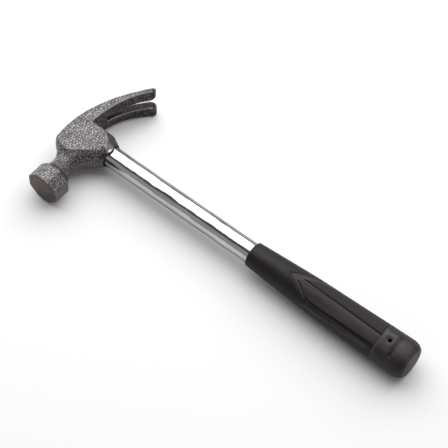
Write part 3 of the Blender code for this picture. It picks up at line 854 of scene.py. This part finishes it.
# edges moulded on each face, as x against the angle from the face's middle towards the striking side
OUTER_EDGE_ANGLE = (-60.0, -45.0, -23.0, -11.0, -2.0, 9.6, 28.0, 41.0, 51.0, 60.0)
OUTER_EDGE_X = (224.0, 217.5, 207.2, 200.9, 198.8, 202.0, 208.9, 215.3, 219.0, 226.0)
OUTER_EDGE_SLANT = 0.75       # turns a distance along x into one square to the edge
INNER_EDGE_ANGLE = (-62.0, -30.0, -10.5, 8.0, 20.0, 33.0, 42.0, 52.0)
INNER_EDGE_X = (236.0, 220.0, 210.0, 207.8, 211.5, 216.4, 218.8, 222.0)
INNER_EDGE_SLANT = 0.8
PANEL_END = 282.6
PANEL_DEPTH = 0.22
PANEL_FRONT_ANGLE = 54.0
PANEL_BACK_ANGLE = -60.0
CHANNEL_X = (219.8, 230, 240, 252, 265, 277, 283)
CHANNEL_ANGLE = (46.5, 48.5, 47.0, 44.8, 44.0, 42.4, 41.0)
# depth, or height for a ridge, and half width of each moulded line
OUTER_LINE = (0.50, 0.6)
INNER_LINE = (0.70, 0.9)
LONG_GROOVE = (0.75, 0.45)
SECOND_LINE = (0.28, 0.5)
CHANNEL_DEPTH = 1.0
CHANNEL_HALVES = (1.5, 2.2)   # towards the panel and away from it
CHANNEL_RIDGE = (0.40, 1.1)
LIP_RIDGE = (0.24, 0.9)
LIP_GROOVE = (0.30, 0.8)
CROSS_GROOVE = (1.15, 1.8)
CROSS_GROOVE_X = 295.0
DISH_DEPTH = 0.90
DISH_RIM = (0.12, 0.7)
DISH_RIM_RADIUS = 4.4


def grip_surface(x, angle):
    """How far the moulded detail raises the sleeve, in millimetres, how stippled it is, and a painted sheen
    where the light falls on it.
    """
    radius = np.interp(x, *zip(*GRIP_SWELL))
    arc = np.radians(1.0) * radius                      # millimetres for one degree
    outer = (x - np.interp(angle, OUTER_EDGE_ANGLE, OUTER_EDGE_X)) * OUTER_EDGE_SLANT
    inner = (x - np.interp(angle, INNER_EDGE_ANGLE, INNER_EDGE_X)) * INNER_EDGE_SLANT
    back_side = (angle - PANEL_BACK_ANGLE) * arc
    end = PANEL_END - x - 0.02 * np.abs(angle - 5.0) + 0.0004 * np.clip(-30 - angle, 0, None) ** 2
    within = np.minimum((PANEL_FRONT_ANGLE - angle) * arc, back_side)
    inside_outer = ramp(np.minimum(np.minimum(outer, within), end), -0.3, 0.4)
    inside_inner = ramp(np.minimum(np.minimum(inner, within), end), -0.3, 0.5)
    height = -PANEL_DEPTH * inside_outer - PANEL_DEPTH * inside_inner

    # thin lines along both edges of the arrow
    depth, half = OUTER_LINE
    height -= depth * bell(outer, half) * ramp(np.minimum(within, end), 0, 1) * ramp(-angle, -44.0, -26.0)
    depth, half = INNER_LINE
    height -= depth * bell(inner, half, 3) * ramp(angle, 4.0, 9.0) * ramp(-angle, -50.0, -46.0)

    # long groove between the stippled and the smooth panel
    groove_angle = np.interp(x, (210.4, 281.5), (-10.3, 0.8))
    depth, half = LONG_GROOVE
    on_groove = ramp(x, 209.4, 210.6) * ramp(-x, -282.2, -281.2)
    height -= depth * bell(np.abs(angle - groove_angle) * arc, half, 4) * on_groove

    # channel below the smooth panel, with a ridge beyond it, and the panel's own slight crown
    channel_angle = np.interp(x, CHANNEL_X, CHANNEL_ANGLE)
    off_channel = (angle - channel_angle) * arc
    on_channel = ramp(x, 216.5, 221.0) * ramp(-x, -283.0, -274.0)
    near, far = CHANNEL_HALVES
    profile = np.where(off_channel < 0, bell(off_channel, near, 4), bell(off_channel, far))
    height -= CHANNEL_DEPTH * profile * on_channel
    rise, half = CHANNEL_RIDGE
    ridge = bell(off_channel - 4.2, half) * on_channel
    height += rise * ridge
    share = np.clip((angle - groove_angle) / (channel_angle - groove_angle), 0, 1)
    height += PANEL_DEPTH * (4 * share * (1 - share)) ** 0.25 * inside_inner

    # faint second line beside the groove, which runs into it
    depth, half = SECOND_LINE
    line = np.abs(angle - np.interp(x, (211, 218, 228, 240), (5.4, 3.7, 1.9, -3.0))) * arc
    height -= depth * bell(line, half) * ramp(x, 211, 213) * ramp(-x, -242, -234)

    # lip where the panels end
    rise, half = LIP_RIDGE
    lip = bell(end + 0.9, half)
    height += rise * lip * ramp(within, -4.0, -1.0)
    depth, half = LIP_GROOVE
    height -= depth * bell(end - 0.8, half) * ramp(within, -0.5, 1.0)

    # short groove across, and the dish round the hanging hole
    depth, half = CROSS_GROOVE
    across = ramp(angle, -40.0, -30.0) * ramp(-angle, -46.0, -38.0)
    height -= depth * bell(x - CROSS_GROOVE_X, half, 3) * across
    away = np.hypot(x - HOLE_X, angle * arc)
    rise, half = DISH_RIM
    height -= DISH_DEPTH * (1 - ramp(away, 1.6, 3.8)) - rise * bell(away - DISH_RIM_RADIUS, half)

    # stippled panel, and the painted sheen: lighter on the arrow band, the smooth panel, the ridge and the
    # lip, on the butt's upper side and in a band along the front, where the light falls
    stipple = inside_inner * ramp(groove_angle - angle, 1.0, 3.5) * ramp(back_side, 0.5, 2.0)
    between = inside_outer * (1 - inside_inner)
    panel = inside_inner * ramp(angle - groove_angle, 1.0, 3.0) * ramp(-off_channel, 0.8, 2.0)
    lit_ridge = 0.5 * ridge * ramp(on_channel, 0.0, 0.6)
    lower = ramp(-angle, 12.0, 36.0)
    butt = (1.0 - 0.75 * ramp(angle, 14.0, 45.0) - 0.85 * lower) * ramp(-end, -0.5, 0.8)
    front = 0.30 * bell(angle - 2.0, 20.0) * ramp(-outer, 0.0, 6.0)
    rim = 0.5 * lip * ramp(within, -4.0, -1.0) * (1 - 0.7 * lower)
    painted_sheen = strongest(0.55 * between, 0.55 * panel, lit_ridge, butt + rim, front, 0.12 * stipple)
    return height, stipple, painted_sheen


def grip_stops():
    """Places along the sleeve for its rings, closer together where the detail is fine."""
    plain, detailed, finest = RING_GAPS
    stops, x = [], GRIP_SWELL[0][0]
    while x < GRIP_SWELL[-1][0]:
        stops.append(x)
        fine = finest if any(low < x < high for low, high in FINEST_STRETCHES) else detailed
        x += plain if x < DETAIL_START else fine
    return stops + [GRIP_SWELL[-1][0]]


def turned_with_grip(points):
    """Places turned about the handle's axis to the way the sleeve sits."""
    turn = math.radians(GRIP_TURN)
    turned = points.copy()
    turned[:, 1] = points[:, 1] * math.cos(turn) - points[:, 2] * math.sin(turn)
    turned[:, 2] = points[:, 1] * math.sin(turn) + points[:, 2] * math.cos(turn)
    return turned


def make_grip(finish):
    """The sleeve: its pocket, front lip, detailed outside, rounded butt and flat, then the hole."""
    first_x, first_radius = GRIP_SWELL[0]
    last_x, last_radius = GRIP_SWELL[-1]
    bore = TUBE_RADIUS + CLEARANCE
    inside = [(POCKET_END, bore * part) for part in (0.1, 0.5, 0.9, 1.0)]
    inside += [(x, bore) for x in np.linspace(POCKET_END - 6, GRIP_FRONT + 2, 16)] + [(GRIP_FRONT, bore)]
    lip = [(GRIP_FRONT + GRIP_LIP * (1 - math.cos(turn)), first_radius - GRIP_LIP * (1 - math.sin(turn)))
           for turn in np.radians(np.linspace(0, 84, 8))]
    outside = [(x, np.interp(x, *zip(*GRIP_SWELL))) for x in grip_stops()]
    depth, width = GRIP_END - GRIP_END_DOME - last_x, last_radius - GRIP_END_FLAT
    butt = [(last_x + depth * math.sin(turn), GRIP_END_FLAT + width * math.cos(turn))
            for turn in np.radians(np.linspace(4, 90, 20))]
    end_face = [(GRIP_END - GRIP_END_DOME * part ** 2, GRIP_END_FLAT * part)
                for part in np.linspace(0.92, 0.08, 9)]
    rings = np.array(round_rings(inside + lip + outside + butt + end_face, GRIP_SIDES))

    first = len(inside) + len(lip)
    x, y, z = (rings[first:, :, axis] for axis in range(3))
    radius = np.hypot(y, z)
    angle = np.degrees(np.arctan2(-y, np.abs(z)))
    height, stipple, painted_sheen = grip_surface(x, angle)
    fade = ramp(-x, -last_x - 2.5, -last_x + 1.0) * ramp(x, first_x, first_x + 1)
    flat = rings[first:].reshape(-1, 3)
    pebble = waves(flat, shortest=0.95, longest=1.7, count=70, seed=23).reshape(x.shape)
    sag = waves(flat * (0.3, 1, 1), shortest=9.0, longest=20.0, count=30, seed=29).reshape(x.shape)
    height = fade * (height + stipple * PEBBLE_HEIGHT * np.tanh(pebble)) - GRIP_INSET + GRIP_SAG * sag * fade
    rings[first:, :, 1:] *= (1 + height / radius)[:, :, None]
    points, faces = skin(rings, (POCKET_END, 0, 0), (GRIP_END, 0, 0))
    item = make_piece("moulded_grip", turned_with_grip(points), faces, finish, "grip")
    for name, values in (("stipple", stipple * fade), ("relief", height), ("painted_sheen", painted_sheen)):
        marks = np.zeros(len(points))
        marks[first * GRIP_SIDES:len(rings) * GRIP_SIDES] = values.ravel()
        store(item, name, marks)
    drill_hanging_hole(item)
    return item


def drill_hanging_hole(item):
    """Cut the hole square through the sleeve's solid end."""
    turn = np.arange(HOLE_SIDES) * 2 * math.pi / HOLE_SIDES
    rings = [[(HOLE_X + HOLE_RADIUS * math.cos(t), HOLE_RADIUS * math.sin(t), z) for t in turn]
             for z in (-HOLE_REACH, HOLE_REACH)]
    points, faces = skin(rings, (HOLE_X, 0, -HOLE_REACH), (HOLE_X, 0, HOLE_REACH))
    mesh = bpy.data.meshes.new("hole_cutter")
    mesh.from_pydata(to_world(turned_with_grip(points)).tolist(), [], faces)
    cutter = add_object("hole_cutter", mesh)
    step = item.modifiers.new("hanging_hole", "BOOLEAN")
    step.operation = "DIFFERENCE"
    step.solver = "EXACT"
    step.object = cutter
    bpy.context.view_layer.update()
    seen = item.evaluated_get(bpy.context.evaluated_depsgraph_get())
    drilled = bpy.data.meshes.new_from_object(seen)
    item.modifiers.clear()
    item.data = drilled
    bpy.data.objects.remove(cutter, do_unlink=True)


# ------------------------------ grip: material

def rubber_finish():
    """Satin black rubber: smooth where it is plain, dull and pebbled on the stippled panel, with a painted
    sheen where the light falls and painted shade in its deepest grooves.
    """
    made, tree, shader = nodes_of("satin_black_rubber")
    place = place_in(tree)
    stipple = attribute(tree, "stipple")
    relief = attribute(tree, "relief")
    fine = noise(tree, place, 0.45, 3.0)
    pebble = noise(tree, place, 0.9, 2.0)
    cloud = noise(tree, place_in(tree, (0.4, 1, 1)), 12.0, 3.0)
    base = ramped(tree, cloud, ((0.3, (0.0078, 0.0056, 0.0074)), (0.7, (0.0125, 0.0092, 0.0117))))
    # lighter dust in the pebbles of the stippled panel
    pebbled = spread(tree, sums(tree, "MULTIPLY", stipple, pebble), 0.2, 0.7, 0.0, 0.5)
    dust_and_painted_light = mixed(tree, pebbled, base, (0.024, 0.019, 0.021))
    # painted sheen, lighter where the light falls on the moulding
    patchy = spread(tree, cloud, 0.35, 0.6, 0.5, 1.0)
    sheen_share = up_to(tree, sums(tree, "MULTIPLY", attribute(tree, "painted_sheen"), patchy), 1.0)
    dust_and_painted_light = mixed(tree, sheen_share, dust_and_painted_light, (0.072, 0.061, 0.069))
    # painted shade, near black, in the deepest grooves and round the hanging hole
    deep = spread(tree, relief, -1.2, -0.6, 0.6, 0.0)
    join(tree, mixed(tree, deep, dust_and_painted_light, (0.004, 0.0035, 0.004)), shader.inputs["Base Color"])
    dull = sums(tree, "MULTIPLY", stipple, 0.16)
    rough = sums(tree, "ADD", spread(tree, cloud, 0.3, 0.7, 0.46, 0.53), dull)
    join(tree, rough, shader.inputs["Roughness"])
    shader.inputs["Specular IOR Level"].default_value = 0.18
    height = sums(tree, "ADD", sums(tree, "MULTIPLY", fine, 0.25), sums(tree, "MULTIPLY", stipple, pebble))
    bumped(tree, height, 0.10, shader)
    return made


# ------------------------------ stage

CAMERA_AZIMUTH = 38.978       # degrees
CAMERA_ELEVATION = 56.287
CAMERA_ROLL = 0.567
CAMERA_DISTANCE = 1182.22
CAMERA_TARGET = (128.314, 7.122, 0.0)
CAMERA_LENS = 124.76
CAMERA_SENSOR = 36.0


def make_camera():
    """A long lens high over the hammer's striking side."""
    azimuth, elevation, roll = (math.radians(value)
                                for value in (CAMERA_AZIMUTH, CAMERA_ELEVATION, CAMERA_ROLL))
    back = Vector((math.sin(azimuth) * math.cos(elevation), -math.cos(azimuth) * math.cos(elevation),
                   math.sin(elevation)))
    right = Vector((0, 0, 1)).cross(back).normalized()
    up = back.cross(right)
    right, up = (math.cos(roll) * right + math.sin(roll) * up, math.cos(roll) * up - math.sin(roll) * right)
    place = Vector(to_world(CAMERA_TARGET)) + back * CAMERA_DISTANCE * MM
    data = bpy.data.cameras.new("camera")
    data.lens = CAMERA_LENS
    data.sensor_width = CAMERA_SENSOR
    camera = add_object("camera", data)
    camera.matrix_world = Matrix((
        (right.x, up.x, back.x, place.x), (right.y, up.y, back.y, place.y),
        (right.z, up.z, back.z, place.z), (0, 0, 0, 1)))
    bpy.context.scene.camera = camera


def make_floor():
    """A plain pale floor under the hammer."""
    reach = 3.0
    mesh = bpy.data.meshes.new("floor")
    mesh.from_pydata([(-reach, -reach, 0), (reach, -reach, 0), (reach, reach, 0), (-reach, reach, 0)],
                     [], [(0, 1, 2, 3)])
    floor = add_object("floor", mesh)
    made, _, shader = nodes_of("pale_floor")
    shader.inputs["Base Color"].default_value = (0.79, 0.79, 0.79, 1.0)
    shader.inputs["Roughness"].default_value = 0.9
    mesh.materials.append(made)


def soft_light(name, lean, side, distance, size, power):
    """A soft box aimed at the hammer from above, leaning from the zenith towards -Y and then towards -X."""
    turn, swing = math.radians(lean), math.radians(side)
    back = Vector((-math.sin(swing), -math.sin(turn) * math.cos(swing), math.cos(turn) * math.cos(swing)))
    data = bpy.data.lights.new(name, "AREA")
    data.shape = "RECTANGLE"
    data.size, data.size_y = size
    data.energy = power
    light = add_object(name, data)
    light.location = back * distance
    light.rotation_euler = back.to_track_quat("Z", "Y").to_euler()


# brightness of the tent against the angle from the zenith towards -Y, in degrees
TENT = ((-120.0, 0.28), (-80.0, 0.28), (-60.0, 0.55), (10.0, 0.50), (22.0, 0.09), (40.0, 0.09), (58.0, 0.48),
        (110.0, 0.34))


def make_studio():
    """A grey tent, darker in a strip beside the top light, for the tube to reflect."""
    world = bpy.data.worlds.new("studio")
    bpy.context.scene.world = world
    world.use_nodes = True
    tree = world.node_tree
    coordinates = tree.nodes.new("ShaderNodeTexCoord")
    apart = tree.nodes.new("ShaderNodeSeparateXYZ")
    join(tree, coordinates.outputs["Generated"], apart.inputs["Vector"])
    lean = sums(tree, "ARCTAN2", sums(tree, "MULTIPLY", apart.outputs["Y"], -1.0), apart.outputs["Z"])
    turn = spread(tree, lean, -math.pi, math.pi)
    tent = ramped(tree, turn, [(0.5 + angle / 360, (level,) * 3) for angle, level in TENT])
    join(tree, tent, tree.nodes["Background"].inputs["Color"])
    tree.nodes["Background"].inputs["Strength"].default_value = 1.0


def make_lights():
    """One large soft box over the hammer, and the tent."""
    soft_light("top_box", lean=-27.0, side=16.0, distance=1.25, size=(2.6, 1.9), power=34.0)
    make_studio()


# ------------------------------ assembly

bpy.context.scene.view_settings.view_transform = "Standard"
make_camera()
make_floor()
make_lights()
make_head(hammertone_finish())
make_tube(chrome_finish())
make_expansion_plug(turned_steel_finish())
make_grip(rubber_finish())
for node_name, finish in (("shock_dowel", dowel_finish()), ("tube_end_plug", moulded_plastic_finish())):
    for material_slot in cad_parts[node_name].material_slots:
        material_slot.material = finish
